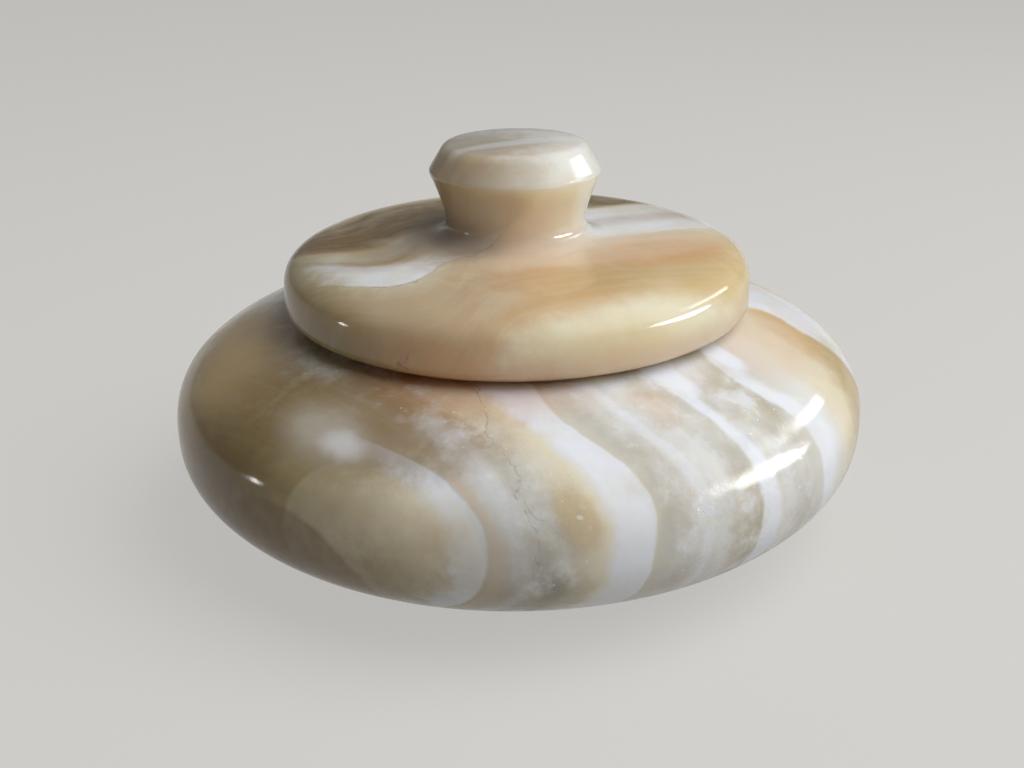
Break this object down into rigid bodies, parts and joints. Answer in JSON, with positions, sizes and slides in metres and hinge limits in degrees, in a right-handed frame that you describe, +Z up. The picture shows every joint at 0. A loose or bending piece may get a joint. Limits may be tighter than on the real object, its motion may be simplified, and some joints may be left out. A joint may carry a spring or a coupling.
{
  "type": "lidded stone jar",
  "caption": "Squat lidded jar turned from banded onyx marble, with a hollow undercut bowl and a lift-off lid that has a flared knob above and a locating spigot beneath.",
  "frame": {"origin": "centre of the flat foot, on the surface that the jar stands on", "axes": "+Z up along the turning axis of the bowl, lid and knob; -Y towards the viewer of the picture, +X to the viewer's right"},
  "size_m": [0.1, 0.1, 0.0564],
  "materials": {
    "jar_stone": "polished",
    "lid_stone": "polished"
  },
  "bodies": {
    "jar": {"jar_body": "jar_stone"},
    "lid": {"lid": "lid_stone"}
  },
  "joints": [
    {"name": "lid_lift", "type": "slide", "parent": "jar", "child": "lid", "axis": [0, 0, 1], "range_m": [0, 0.08]}
  ]
}
